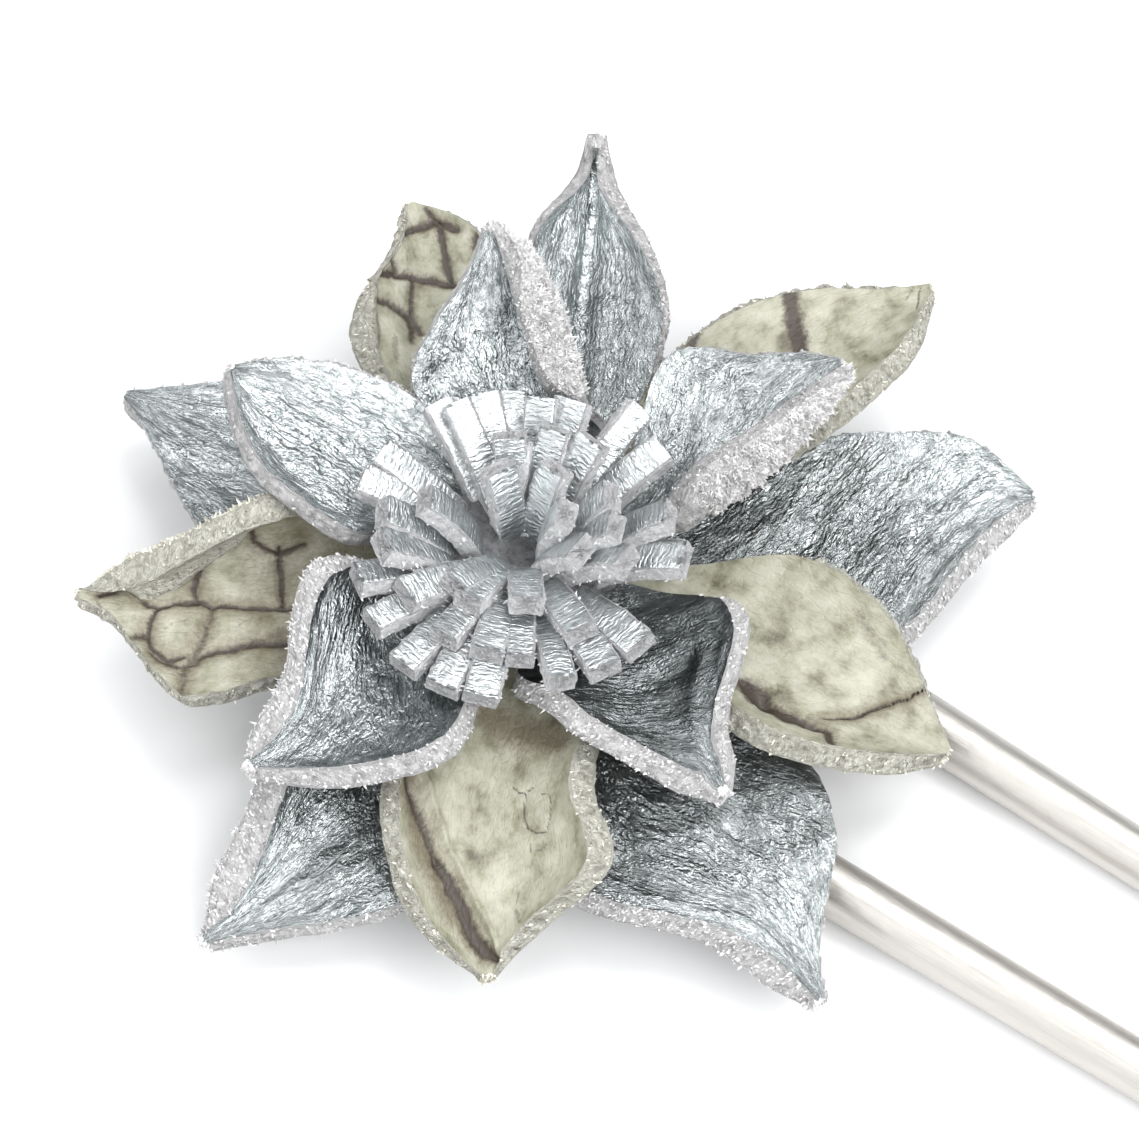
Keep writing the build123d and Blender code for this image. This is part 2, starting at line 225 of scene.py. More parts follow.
# How far the foil's creases turn away from the petal's length, degrees, towards its left
TURN_ROWS = {"low_silver_petal": [32, 0, 0, 0, 22], "top_silver_petal": [22, 0, 0, 35, 68]}

# Tufts of suede: how many to a millimetre of edge, and how long, millimetres, on an edge and on a face
TUFTS_PER_MM = 32
EDGE_TUFT = (0.08, 0.32)
FACE_TUFT = (0.1, 0.42)
STRIP_TUFT = (0.1, 0.3)
TUFTS_PER_STRIP = 44

# Petals whose flesh side shows on the right: how far in from the edge as a share, and how many tufts
NAPPY = {
    "top_silver_petal_1": (0.75, 3200),
    "top_silver_petal_2": (0.75, 3200),
    "python_petal_4": (0.6, 2200),
    "top_silver_petal_4": (0.35, 900),
    "low_silver_petal_4": (0.35, 900),
}


def smooth(t):
    """Eases from 0 to 1 as t goes from 0 to 1."""
    t = np.clip(t, 0, 1)
    return t * t * (3 - 2 * t)


NOISE_CELLS = 64


def noise(x, y, seed):
    """Smooth seeded noise over the plane, about -0.7 to 0.7, with features one unit wide."""
    angles = np.random.default_rng(seed).uniform(0, 2 * math.pi, (NOISE_CELLS, NOISE_CELLS))
    xi, yi = np.floor(x).astype(int), np.floor(y).astype(int)
    fx, fy = x - xi, y - yi
    sx, sy = smooth(fx), smooth(fy)

    def corner(dx, dy):
        angle = angles[(xi + dx) % NOISE_CELLS, (yi + dy) % NOISE_CELLS]
        return np.cos(angle) * (fx - dx) + np.sin(angle) * (fy - dy)

    low = corner(0, 0) * (1 - sx) + corner(1, 0) * sx
    high = corner(0, 1) * (1 - sx) + corner(1, 1) * sx
    return low * (1 - sy) + high * sy


def natural_spline(knots, values, at):
    """Natural cubic spline through rows of values at the knots, read at the given places."""
    knots, values = np.array(knots), np.array(values)
    gaps = np.diff(knots)
    n = len(knots)
    matrix = np.eye(n)
    right = np.zeros_like(values)
    for i in range(1, n - 1):
        matrix[i, i - 1:i + 2] = gaps[i - 1], 2 * (gaps[i - 1] + gaps[i]), gaps[i]
        slope_after = (values[i + 1] - values[i]) / gaps[i]
        slope_before = (values[i] - values[i - 1]) / gaps[i - 1]
        right[i] = 6 * (slope_after - slope_before)
    bends = np.linalg.solve(matrix, right.reshape(n, -1)).reshape(values.shape)
    k = np.clip(np.searchsorted(knots, at, side="right") - 1, 0, n - 2)
    shape = (-1,) + (1,) * (values.ndim - 1)
    width = gaps[k].reshape(shape)
    b = ((at - knots[k]) / gaps[k]).reshape(shape)
    a = 1 - b
    curve = ((a ** 3 - a) * bends[k] + (b ** 3 - b) * bends[k + 1]) * width ** 2 / 6
    return a * values[k] + b * values[k + 1] + curve


# Petal shape, as in the part's source

def opening(petal, share):
    """How far a petal has opened out of its flat root, 0 to 1."""
    flat_to = WIDTH_AT[0] / 3
    return float(smooth((share - flat_to) / (petal.open_at / 100 - flat_to)))


def spine_frame(petal, share):
    """Point of the spine, the petal's left and the way out of its upper face."""
    def direction(s):
        kick = petal.kick * max(0.0, (s - KICK_FROM) / (1 - KICK_FROM)) ** 2
        heading = math.radians(petal.azimuth + petal.bow * (1 - 2 * s))
        slope = math.radians(petal.rise + petal.arch * s + kick)
        along = (math.cos(heading) * math.cos(slope), math.sin(heading) * math.cos(slope), math.sin(slope))
        return np.array(along), np.array([-math.sin(heading), math.cos(heading), 0.0])

    root = math.radians(petal.azimuth + petal.root_turn)
    height = RING_HEIGHT[petal.ring] + petal.lift / 100 * LEATHER
    point = np.array([ROOT_RADIUS * math.cos(root), ROOT_RADIUS * math.sin(root), height])
    step = petal.length * RING_LENGTH[petal.ring] * share / SPINE_STEPS
    for i in range(SPINE_STEPS):
        point = point + direction(share * (i + 0.5) / SPINE_STEPS)[0] * step
    along, level = direction(share)
    roll = math.radians(petal.roll * opening(petal, share))
    left = level * math.cos(roll) + np.cross(along, level) * math.sin(roll)
    return point, left, np.cross(along, left)


def edge_room(width, curl, crease):
    """How far the inner corner of a curled edge stays from the spine."""
    angle = crease + curl
    return width / curl * (math.sin(angle) - math.sin(crease)) - LEATHER / 2 * math.sin(angle)


def section_angles(petal, share, widths):
    """Crease and curls of a section, eased until its halves don't meet over the spine."""
    opened = opening(petal, share)
    near_tip = petal.tip_curl * max(0.0, 2 * share - 1)
    crease = math.radians(max(LEAST_ANGLE, petal.crease * opened))
    curls = [petal.curl_left * opened + near_tip, petal.curl_right * opened + near_tip]
    curls = [math.radians(curl if abs(curl) > LEAST_ANGLE else LEAST_ANGLE) for curl in curls]
    while min(edge_room(w, curl, crease) for w, curl in zip(widths, curls)) < TIP_HALF_WIDTH / 2:
        crease *= EASE_STEP
        curls = [curl * EASE_STEP for curl in curls]
    return crease, curls


def arc_points(first, middle, last, shares):
    """Points at even shares along the circular arc through three points."""
    a, b, c = complex(*first), complex(*middle), complex(*last)
    w = (c - a) / (b - a)
    centre = (b - a) * (w - abs(w) ** 2) / (w - w.conjugate()) + a
    turn = np.angle((b - centre) / (a - centre)) + np.angle((c - centre) / (b - centre))
    points = centre + (a - centre) * np.exp(1j * turn * shares)
    return np.stack([points.real, points.imag], 1)


def half_section(width, curl, crease, side, shares):
    """Upper and lower arc of one half of a section, from the spine outwards."""
    faces = []
    for face in (1, -1):
        corners = [(0, face * LEATHER / 2 / math.cos(crease))]
        for angle in (crease + curl / 2, crease + curl):
            x = width / curl * (math.sin(angle) - math.sin(crease))
            y = width / curl * (math.cos(crease) - math.cos(angle))
            x -= face * LEATHER / 2 * math.sin(angle)
            y += face * LEATHER / 2 * math.cos(angle)
            corners.append((side * x, y))
        faces.append(arc_points(*corners, shares))
    return faces


def petal_faces(petal, spacing):
    """Grids of points on the upper and lower face, and each point's place along and across."""
    length = petal.length * RING_LENGTH[petal.ring]
    lefts, rights = ([ROOT_HALF_WIDTH] + [HALF_WIDTH * (width / 100) for width in side] + [TIP_HALF_WIDTH]
                     for side in (petal.left, petal.right))
    rows = int(length / spacing)
    half_columns = int(max(lefts + rights) / spacing)
    across = np.linspace(0, 1, half_columns + 1)
    knots = (0, *WIDTH_AT, 1)
    upper, lower, reach = [], [], []
    for share, *widths in zip(knots, lefts, rights):
        point, left, out = spine_frame(petal, share)
        crease, curls = section_angles(petal, share, widths)
        halves = [half_section(widths[k], curls[k], crease, 1 - 2 * k, across) for k in (0, 1)]
        for face, grid in ((0, upper), (1, lower)):
            flat = np.concatenate([halves[1][face][:0:-1], halves[0][face]])
            grid.append(point + flat[:, :1] * left + flat[:, 1:] * out)
        reach.append(np.concatenate([-widths[1] * across[:0:-1], widths[0] * across]))
    at = np.linspace(0, 1, rows + 1)
    upper, lower, reach = (natural_spline(knots, grid, at) for grid in (upper, lower, reach))
    along = np.repeat((at * length)[:, None], upper.shape[1], 1)
    return upper, lower, along, reach


def grid_normals(grid):
    """Unit normals of a grid of points, out of the side on which it runs anticlockwise."""
    return unit(np.cross(np.gradient(grid, axis=0), np.gradient(grid, axis=1)))


def grid_quads(index, flip=False):
    """Quads between the neighbours of a grid of vertex numbers."""
    a, b, c, d = index[:-1, :-1], index[1:, :-1], index[1:, 1:], index[:-1, 1:]
    quads = np.stack([a, b, c, d], -1).reshape(-1, 4)
    return quads[:, ::-1] if flip else quads


def line_distance(x, y, places):
    """Distance of each point from a chain of places, how far along it that is, and its length."""
    best, run = np.full(x.shape, np.inf), np.zeros(x.shape)
    passed = 0.0
    for (ax, ay), (bx, by) in zip(places, places[1:]):
        dx, dy = bx - ax, by - ay
        t = np.clip(((x - ax) * dx + (y - ay) * dy) / (dx * dx + dy * dy), 0, 1)
        distance = np.hypot(x - ax - t * dx, y - ay - t * dy)
        run = np.where(distance < best, passed + t * math.hypot(dx, dy), run)
        best = np.minimum(best, distance)
        passed += math.hypot(dx, dy)
    return best, run, passed


def unit(vectors):
    return vectors / np.maximum(np.linalg.norm(vectors, axis=-1, keepdims=True), 1e-9)


# Meshes

def add_object(name, data):
    thing = bpy.data.objects.new(name, data)
    bpy.context.scene.collection.objects.link(thing)
    return thing


# Which of its mesh's materials a face has
SKIN, SUEDE, CORE = 0, 1, 2
# Which of the three marks a material reads. On foil the second one is how calm the creases are,
# on python leather it is where the flesh side is rolled over the edge.
# The third is painted shade on both leathers, and on python leather it holds broad stains as well.
LINE_MARK, EDGE_MARK, SHADE_AND_STAIN_MARK = 0, 1, 2
SHARP_ANGLE = 55


class Shell:
    """Vertices, faces and values gathered for one mesh."""

    def __init__(self):
        self.points, self.grain, self.marks = [], [], []
        self.quads, self.kinds = [], []
        self.count = 0

    def add(self, points, grain, marks=(0, 0, 0)):
        """Adds points of any grid shape and returns their numbers in the same shape."""
        shape = points.shape[:-1]
        number = int(np.prod(shape))
        self.points.append(points.reshape(-1, 3))
        self.grain.append(np.broadcast_to(grain, shape + (3,)).reshape(-1, 3))
        self.marks.append(np.broadcast_to(marks, shape + (3,)).reshape(-1, 3))
        self.count += number
        return np.arange(self.count - number, self.count).reshape(shape)

    def faces(self, quads, kind):
        """Adds quads; one that names a corner twice running becomes a triangle."""
        self.quads.append(np.asarray(quads).reshape(-1, 4))
        self.kinds.append(np.full(len(self.quads[-1]), kind))

    def build(self, name, materials):
        """Makes the mesh and its object, placed on the flower's axis."""
        points = np.concatenate(self.points) + (FLOWER_X, FLOWER_Y, 0)
        quads = np.concatenate(self.quads).tolist()
        mesh = bpy.data.meshes.new(name)
        faces = [[v for i, v in enumerate(quad) if v != quad[i - 1]] for quad in quads]
        mesh.from_pydata((points * MM).tolist(), [], faces)
        mesh.polygons.foreach_set("material_index", np.concatenate(self.kinds).astype(np.int32))
        for title, values in (("grain", self.grain), ("marks", self.marks)):
            attribute = mesh.attributes.new(title, "FLOAT_VECTOR", "POINT")
            attribute.data.foreach_set("vector", np.concatenate(values).astype(np.float32).ravel())
        for material in materials:
            mesh.materials.append(material)
        mesh.shade_smooth()
        mesh.set_sharp_from_angle(angle=math.radians(SHARP_ANGLE))
        return add_object(name, mesh)


# A tuft is a three-sided spike with a bend in its middle. Lengths are in millimetres.
TUFT_SIDES = 3
TUFT_GIRTH = (0.05, 0.12)
TUFT_WAIST = 0.75
TUFT_ROOT_DEPTH = 0.06
# How far the two halves of a tuft stray from straight out
LOWER_STRAY = 0.55
UPPER_STRAY = 0.75


def add_tufts(shell, grid, grain, outward, number, reach, seed, density=None):
    """Short curled tufts of suede at random places of a grid, thinned out by the density."""
    rng = np.random.default_rng(seed)
    rows, columns = grid.shape[:2]
    u = rng.uniform(0, rows - 1.001, number)
    v = rng.uniform(0, columns - 1.001, number)
    if density is not None:
        kept = rng.uniform(0, 1, number) < density[v.astype(int)]
        u, v = u[kept], v[kept]
        number = len(u)
    i, j = u.astype(int), v.astype(int)
    fu, fv = (u - i)[:, None], (v - j)[:, None]

    def read(values):
        low = values[i, j] * (1 - fv) + values[i, j + 1] * fv
        high = values[i + 1, j] * (1 - fv) + values[i + 1, j + 1] * fv
        return low * (1 - fu) + high * fu

    # tufts are longer in some places than in others
    clump = noise(u / 3.0, v / 2.2, seed + 1)
    length = rng.uniform(*reach, number) * np.clip(0.9 + 2.2 * clump, 0.15, 2.2)
    base = read(grid)
    way = unit(read(outward))
    first = unit(way + rng.normal(0, LOWER_STRAY, (number, 3)))
    second = unit(first + rng.normal(0, UPPER_STRAY, (number, 3)))
    root = base - way * TUFT_ROOT_DEPTH
    middle = base + first * (length * 0.5)[:, None]
    tip = middle + second * (length * 0.5)[:, None]
    side = unit(np.cross(first, rng.normal(0, 1, (number, 3))))
    other = np.cross(first, side)
    girth = rng.uniform(*TUFT_GIRTH, number)
    turns = np.arange(TUFT_SIDES) * 2 * math.pi / TUFT_SIDES
    circle = np.cos(turns)[:, None, None] * side + np.sin(turns)[:, None, None] * other
    low = (root + circle * girth[:, None]).transpose(1, 0, 2)
    high = (middle + circle * girth[:, None] * TUFT_WAIST).transpose(1, 0, 2)
    points = np.concatenate([low, high, tip[:, None]], 1)
    index = shell.add(points, read(grain)[:, None] + (0, 0, 0.5))
    bottom, waist, top = index[:, :TUFT_SIDES], index[:, TUFT_SIDES:-1], index[:, -1]
    for a in range(TUFT_SIDES):
        b = (a + 1) % TUFT_SIDES
        shell.faces(np.stack([bottom[:, a], bottom[:, b], waist[:, b], waist[:, a]], 1), SUEDE)
        shell.faces(np.stack([waist[:, a], waist[:, b], top, top], 1), SUEDE)
    shell.faces(bottom[:, [0, 2, 1, 1]], SUEDE)


# Materials

class Look:
    """A material, with short ways to add nodes to it. A grey is given as one number."""

    def __init__(self, name):
        self.material = bpy.data.materials.new(name)
        self.material.use_nodes = True
        self.nodes = self.material.node_tree.nodes
        self.links = self.material.node_tree.links
        self.shader = self.nodes["Principled BSDF"]

    def feed(self, socket, value):
        """Links a node's output to a socket, or sets a plain value on it."""
        if isinstance(value, bpy.types.NodeSocket):
            self.links.new(value, socket)
        elif socket.type == "RGBA":
            socket.default_value = (*value, 1)
        else:
            socket.default_value = value

    def give(self, **values):
        """Feeds the shader's inputs, named with _ for a space."""
        for name, value in values.items():
            self.feed(self.shader.inputs[name.replace("_", " ")], value)

    def attribute(self, name):
        node = self.nodes.new("ShaderNodeAttribute")
        node.attribute_name = name
        return node.outputs["Vector"]

    def mark(self, number):
        parts = self.nodes.new("ShaderNodeSeparateXYZ")
        self.feed(parts.inputs["Vector"], self.attribute("marks"))
        return parts.outputs[number]

    def texture(self, kind, source, scale, **settings):
        """A texture node fed by a vector that is scaled by three numbers."""
        mapping = self.nodes.new("ShaderNodeMapping")
        mapping.inputs["Scale"].default_value = scale
        self.feed(mapping.inputs["Vector"], source)
        node = self.nodes.new(kind)
        self.feed(node.inputs["Vector"], mapping.outputs["Vector"])
        node.inputs["Scale"].default_value = 1.0
        for key, value in settings.items():
            socket = node.inputs.get(key.replace("_", " "))
            if socket is None:
                setattr(node, key, value)
            else:
                socket.default_value = value
        return node

    def noise(self, source, scale, detail, roughness=0.5, output="Fac"):
        node = self.texture("ShaderNodeTexNoise", source, scale, Detail=detail, Roughness=roughness)
        return node.outputs[output]

    def warped(self, source, scale, amount):
        """The source vector pushed about by noise, so that lines laid on it wander."""
        node = self.nodes.new("ShaderNodeVectorMath")
        node.operation = "MULTIPLY_ADD"
        self.feed(node.inputs[0], self.noise(source, scale, 2.0, output="Color"))
        self.feed(node.inputs[1], amount)
        self.feed(node.inputs[2], source)
        return node.outputs["Vector"]

    def calculate(self, operation, first, second=0.0):
        node = self.nodes.new("ShaderNodeMath")
        node.operation = operation
        self.feed(node.inputs[0], first)
        self.feed(node.inputs[1], second)
        return node.outputs["Value"]

    def crease(self, source, scale, detail):
        """Sharp valleys where a noise passes its middle."""
        height = self.calculate("SUBTRACT", self.noise(source, scale, detail), 0.5)
        return self.calculate("ABSOLUTE", height)

    def ramp(self, source, *stops):
        node = self.nodes.new("ShaderNodeValToRGB")
        elements = node.color_ramp.elements
        while len(elements) < len(stops):
            elements.new(0.5)
        for element, (place, colour) in zip(elements, stops):
            element.position = place
            element.color = (*colour, 1) if isinstance(colour, tuple) else (colour, colour, colour, 1)
        self.feed(node.inputs["Fac"], source)
        return node.outputs["Color"]

    def mix(self, share, first, second, kind="RGBA", blend="MIX"):
        """Two colours, or two vectors, mixed by a share."""
        node = self.nodes.new("ShaderNodeMix")
        node.data_type = kind
        node.blend_type = blend
        self.feed(node.inputs["Factor"], share)
        sockets = {socket.name: socket for socket in node.inputs if socket.type == kind}
        self.feed(sockets["A"], first)
        self.feed(sockets["B"], second)
        return [socket for socket in node.outputs if socket.type == kind][0]

    def bump(self, height, distance, under=None, strength=1.0):
        """A normal bent by a height, whose full range is a distance in millimetres."""
        node = self.nodes.new("ShaderNodeBump")
        node.inputs["Distance"].default_value = distance * MM
        self.feed(node.inputs["Strength"], strength)
        self.feed(node.inputs["Height"], height)
        if under is not None:
            self.feed(node.inputs["Normal"], under)
        return node.outputs["Normal"]


def silver_material(name, duller, brighter, dark, light, relief):
    """Silver foil on leather: fine sharp creases that run with the grain, over soft uneven swells, with
    painted shade in the creases and towards the root.
    """
    look = Look(name)
    grain = look.attribute("grain")
    bent = look.warped(grain, (0.6, 0.8, 1), (1.5, 0.9, 0))
    patch = look.noise(grain, (0.17, 0.34, 1), 2.0)
    swell = look.noise(bent, (0.9, 2.0, 1), 4.0, 0.6)
    long_creases = look.crease(bent, (1.15, 2.9, 1), 3.0)
    short_creases = look.crease(bent, (2.8, 6.0, 1), 2.0)
    ridges = look.texture("ShaderNodeTexWave", bent, (0.55, 0.88, 1), Distortion=5.0, Detail=2.0,
                          Detail_Scale=3.0, wave_type="BANDS", bands_direction="Y")
    base = look.ramp(swell, (0.34, dark), (0.62, light))
    base = look.mix(look.ramp(patch, (0.34, 0.78), (0.56, 1.0)), (0.0, 0.0, 0.0), base)
    # painted shade towards the root, read from the petal's marks
    base = look.mix(look.mark(SHADE_AND_STAIN_MARK), base, tuple(0.25 * value for value in dark))
    # painted shade: the base is darker along the crease valleys
    clear_of_crease_shade = look.ramp(long_creases, (0.0, 0.0), (0.018, 1.0))
    base = look.mix(clear_of_crease_shade, tuple(0.72 * value for value in dark), base)
    # some patches are creased less, and so are the margins
    rough = look.ramp(patch, (0.38, 0.35), (0.6, 1.0))
    calm = look.ramp(look.mark(EDGE_MARK), (0.0, 1.0), (1.0, 0.3))
    rough = look.calculate("MULTIPLY", rough, calm)
    normal = look.bump(swell, 0.16 * relief)
    normal = look.bump(ridges.outputs["Fac"], 0.058 * relief, normal, rough)
    normal = look.bump(long_creases, 0.22 * relief, normal, rough)
    normal = look.bump(short_creases, 0.14 * relief, normal)
    look.give(Base_Color=base, Roughness=look.ramp(patch, (0.3, duller), (0.7, brighter)), Metallic=1.0,
              Normal=normal)
    return look.material


def suede_parts(look, grain, dark, light, relief=1.0):
    """Colour and normal of a nappy, crumbly suede."""
    clump = look.noise(grain, (1.9, 1.9, 1.9), 7.0, 0.72)
    pile = look.texture("ShaderNodeTexVoronoi", grain, (5.5, 5.5, 5.5), Randomness=1.0)
    normal = look.bump(clump, 1.1 * relief)
    normal = look.bump(pile.outputs["Distance"], 0.08 * relief, normal)
    return look.ramp(clump, (0.36, dark), (0.56, light)), normal


def suede_material(name, dark, light, relief=1.0):
    look = Look(name)
    colour, normal = suede_parts(look, look.attribute("grain"), dark, light, relief)
    look.give(Base_Color=colour, Normal=normal, Roughness=0.95, Sheen_Weight=0.35,
              Specular_IOR_Level=0.15)
    return look.material


def python_material():
    """Cream leather with an embossed scale, mottled with stains; its rolled flesh side is suede."""
    look = Look("cream_python_leather")
    grain = look.attribute("grain")
    stain = look.noise(grain, (0.46, 0.46, 1), 7.0, 0.6)
    fine = look.noise(grain, (3.0, 3.6, 1), 5.0, 0.65)
    cells = look.texture("ShaderNodeTexVoronoi", grain, (0.9, 1.7, 1), Randomness=1.0,
                         feature="DISTANCE_TO_EDGE")
    uneven = look.calculate("SUBTRACT", fine, 0.5)

    def broken(mark, amount):
        """A mark broken up by the fine noise."""
        return look.calculate("ADD", look.mark(mark), look.calculate("MULTIPLY", uneven, amount))

    skin = look.ramp(stain, (0.3, (0.12, 0.11, 0.075)), (0.4, (0.25, 0.245, 0.175)),
                     (0.48, (0.345, 0.34, 0.26)), (0.64, (0.46, 0.45, 0.37)))
    skin = look.mix(0.55, skin, look.ramp(fine, (0.31, 0.45), (0.39, 1.0)), blend="MULTIPLY")
    # broad brown, partly stains and partly painted shade, then the sharp dark lines, mostly the scale's print
    # and some painted shade in hollows
    shade = look.ramp(broken(SHADE_AND_STAIN_MARK, 1.1), (0.25, 0.0), (0.95, 1.0))
    skin = look.mix(shade, skin, (0.17, 0.145, 0.1))
    lines = look.ramp(broken(LINE_MARK, 0.9), (0.3, 0.0), (0.85, 1.0))
    skin = look.mix(lines, skin, (0.055, 0.042, 0.032))
    flesh, nap = suede_parts(look, grain, (0.4, 0.38, 0.31), (0.78, 0.76, 0.67))
    rolled = broken(EDGE_MARK, 0.7)
    past_edge = look.ramp(rolled, (0.42, 0.0), (0.55, 1.0))
    creases = look.ramp(cells.outputs["Distance"], (0.0, 0.0), (0.05, 0.7), (0.14, 1.0))
    normal = look.bump(stain, 0.16)
    normal = look.bump(fine, 0.05, normal)
    normal = look.bump(creases, 0.02, normal)
    look.give(Base_Color=look.mix(past_edge, skin, flesh),
              Normal=look.mix(past_edge, normal, nap, "VECTOR"),
              Roughness=look.ramp(rolled, (0.42, 0.42), (0.55, 0.95)))
    return look.material


def nickel_material():
    """Satin nickel, finely brushed along the rod."""
    look = Look("satin_nickel")
    place = look.nodes.new("ShaderNodeTexCoord").outputs["Object"]
    brushed = look.noise(place, (300, 9000, 9000), 3.0)
    look.give(Base_Color=look.ramp(brushed, (0.3, (0.58, 0.555, 0.52)), (0.7, (0.66, 0.635, 0.6))),
              Roughness=look.ramp(brushed, (0.3, 0.38), (0.7, 0.46)), Metallic=1.0,
              Normal=look.bump(brushed, 0.01))
    return look.material


silver = silver_material("silver_foil_leather", 0.29, 0.17, (0.33, 0.36, 0.365), (0.71, 0.745, 0.75), 1.0)
# The strips' foil is the petals' foil given a lighter colour: painted light, for strips that face away from
# the lamps
strip_silver_painted_light = silver_material("silver_foil_strips", 0.38, 0.29, (0.56, 0.595, 0.605), (0.84, 0.865, 0.87),
                               0.6)
# The core is the strips' suede darkened as painted shade, for the deep shade inside the rolled fringe.
rolled_core = suede_material("rolled_core", (0.07, 0.07, 0.075), (0.2, 0.2, 0.21), 0.5)
strip_edge = suede_material("strip_edges", (0.42, 0.42, 0.43), (0.8, 0.8, 0.81), 0.35)
grey_suede = suede_material("grey_suede", (0.4, 0.39, 0.39), (0.8, 0.79, 0.79), 0.75)
cream_suede = suede_material("cream_suede", (0.38, 0.36, 0.29), (0.8, 0.785, 0.69))
python = python_material()
nickel = nickel_material()

# Petals

# Every petal has its own slab of the textures' space, and its seeds start ten after the last one's
SLAB_STEP = 7.0
BACK_SLAB = 3
FIRST_SEED = 100
SEED_STEP = 10

# Soft folds of the foil: height, size along and size across, millimetres, and where the noise starts
FOIL_FOLDS = [(0.58, 4.6, 1.9, 7, 5), (0.2, 2.2, 0.9, 0, 0), (0.1, 1.1, 0.5, 0, 0)]
FOIL_FOLD_SHARE = 0.78

# Width of the painted brown shade beside a deep dark line, millimetres
USUAL_SHADE_HALO = 1.7
SHADE_HALO = {"python_petal_3": 0.9}


class Leaf:
    """A petal's two faces as grids of points, and where on the petal each point lies."""

    def __init__(self, petal, number):
        self.name = petal.name
        self.is_silver = "silver" in petal.name
        self.seed = FIRST_SEED + SEED_STEP * number
        self.ring = petal.ring
        self.place_in_ring = number % PETALS_PER_RING
        self.flares = FLARE_ROWS[self.ring][self.place_in_ring]
        spacing = SILVER_GRID if self.is_silver else PYTHON_GRID
        self.upper, self.lower, self.along, self.across = petal_faces(petal, spacing)
        self.rows, self.columns = self.along.shape
        self.middle = self.columns // 2
        self.length = self.along.max()
        self.share = self.along / self.length
        left = self.across.max(1, keepdims=True)
        right = -self.across.min(1, keepdims=True)
        self.half = np.where(self.across > 0, left, right)
        # 1 on the left edge, -1 on the right one
        self.place = self.across / self.half
        self.from_edge = (1 - np.abs(self.place)) * self.half
        self.from_tip = (1 - self.share) * self.length
        self.inside = smooth(self.from_edge / 1.2) * smooth(self.from_tip / 1.5)
        self.slab = np.full_like(self.along, SLAB_STEP * number)
        self.back_grain = np.stack([self.along, self.across, self.slab + BACK_SLAB], -1)
        self.height = np.zeros_like(self.along)
        self.marks = np.zeros(self.along.shape + (3,))

    def bumps(self, size, height, seed):
        """Random bumps over the petal, their size and height in millimetres."""
        return height * noise(self.along / size, self.across / size, self.seed + seed)

    def darken(self, mark, values):
        self.marks[..., mark] = np.maximum(self.marks[..., mark], values)


def crease_grid(leaf):
    """Millimetres along and across the creases, which run in from the edges towards root and tip."""
    flow = 0.6 * leaf.place * leaf.half.mean() + 0.4 * leaf.across
    turn = math.radians(TURN_ROWS[leaf.ring][leaf.place_in_ring])
    run = leaf.along * math.cos(turn) + flow * math.sin(turn)
    return run, flow * math.cos(turn) - leaf.along * math.sin(turn)


def roughen_outline(leaf):
    """Makes the outline a little uneven, and sets the lower edge out or in by its flare."""
    ends = smooth((leaf.share - 0.12) / 0.2) * smooth((1 - leaf.share) / 0.1)
    run = leaf.share[:, :1] * leaf.length
    for side, edge, flare in zip((LEFT, RIGHT), (-1, 0), leaf.flares):
        outward = unit(leaf.upper[:, edge] - leaf.upper[:, leaf.middle])[:, None]
        near = smooth(1 - leaf.from_edge / 1.6) * (leaf.place * side > 0) * ends
        jag = 0.16 * noise(run / 1.3, run * 0 + side, leaf.seed + 5)
        jag = jag + 0.09 * noise(run / 0.45, run * 0 + side, leaf.seed + 6)
        leaf.upper = leaf.upper + outward * (near * jag)[..., None]
        leaf.lower = leaf.lower + outward * (near * (jag + flare))[..., None]


def roughen_back(leaf):
    """Raises the nap of the flesh side, most of all where it shows."""
    nap = leaf.bumps(0.7, 0.12, 12)
    if leaf.name in NAPPY:
        nap = nap + leaf.bumps(1.0, 0.5, 13) + leaf.bumps(0.5, 0.42, 14)
    nap = nap * smooth(leaf.from_edge / 0.8) * smooth(leaf.from_tip / 1.5)
    leaf.lower = leaf.lower - grid_normals(leaf.lower) * nap[..., None]


def draw_lines(leaf):
    """Presses the petal's lines into its upper face, or folds them up, and marks the dark ones, with painted
    shade beside the deep ones.
    """
    is_scaled = leaf.name in SCALED
    valley = np.zeros_like(leaf.along)
    wobble = leaf.bumps(0.8, 0.12, 7)
    for *numbers, places in LINES.get(leaf.name, ()):
        width, depth, dark = (number / 100 for number in numbers)
        chain = []
        for share, place in np.array(places) / 100:
            across = leaf.across[int(round(share * (leaf.rows - 1)))]
            reach = across.max() if place > 0 else -across.min()
            chain.append((share * leaf.length, place * reach))
        away, passed, whole = line_distance(leaf.along + wobble, leaf.across - wobble, chain)
        # thinner towards its ends, and unevenly wide in between
        taper = 0.65 + 0.45 * np.sqrt(np.sin(math.pi * np.clip(passed / whole, 0.02, 0.98)))
        taper = taper * (1 + 0.5 * noise(passed / 1.1, passed * 0 + width * 9, leaf.seed + 11))
        away = away / (width * (0.68 if is_scaled else 0.5) * taper)
        leaf.height -= depth * np.exp(-(away / 1.35) ** 2)
        is_sharp = width < 1.3 or dark > 0.8
        leaf.darken(LINE_MARK if is_sharp else SHADE_AND_STAIN_MARK, 1.15 * dark * np.exp(-0.8 * away ** 2))
        if is_scaled and dark > 0.5:
            valley = np.maximum(valley, np.exp(-(away * width / 1.5) ** 2))
        # painted shade: brown beside the deep dark lines, where the scales dip
        if dark > 0.55 and depth > 0.1:
            shade_width = SHADE_HALO.get(leaf.name, USUAL_SHADE_HALO)
            leaf.darken(SHADE_AND_STAIN_MARK, 0.72 * np.exp(-(away * width / shade_width) ** 2))
    leaf.height -= 0.3 * valley


